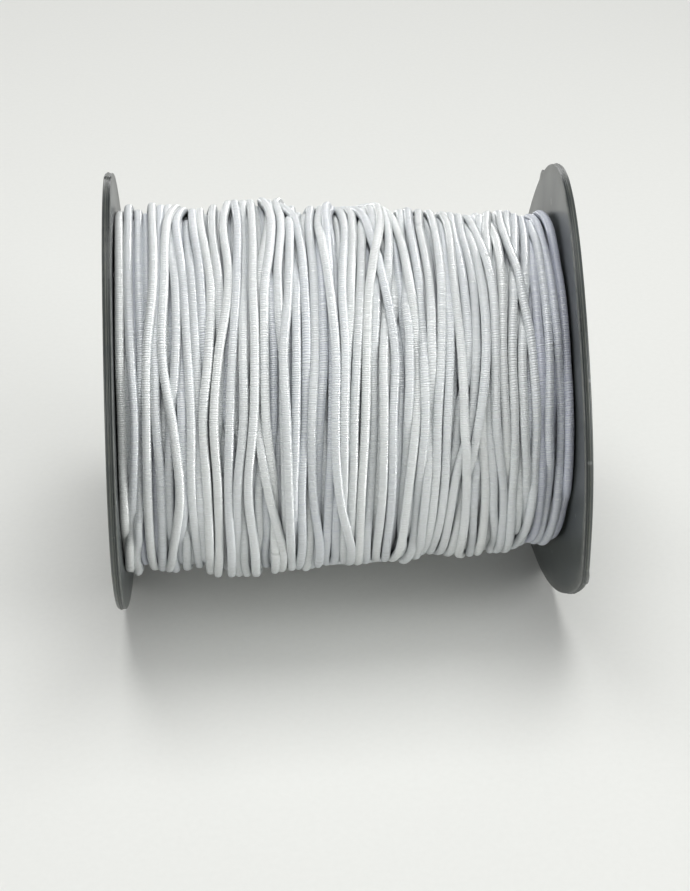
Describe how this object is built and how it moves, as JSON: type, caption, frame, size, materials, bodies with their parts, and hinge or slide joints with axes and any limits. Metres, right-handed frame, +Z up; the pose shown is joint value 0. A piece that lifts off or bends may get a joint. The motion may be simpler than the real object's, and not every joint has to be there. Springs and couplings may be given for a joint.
{
  "type": "roll of elastic cord on a spool",
  "caption": "Round covered elastic cord wound in uneven, crossing turns on a plastic spool with thin round flanges.",
  "frame": {"origin": "on the floor, midway between the flanges, straight below the spool's axis", "axes": "+Z up, +X along the spool's axis from the left flange to the right one, the camera's side is -Y"},
  "size_m": [0.1044, 0.1002, 0.0997],
  "materials": {
    "spool": "satin",
    "cord": "satin"
  },
  "bodies": {
    "root": {"flange_left": "spool", "flange_right": "spool", "barrel": "spool", "winding": "cord"}
  },
  "joints": []
}
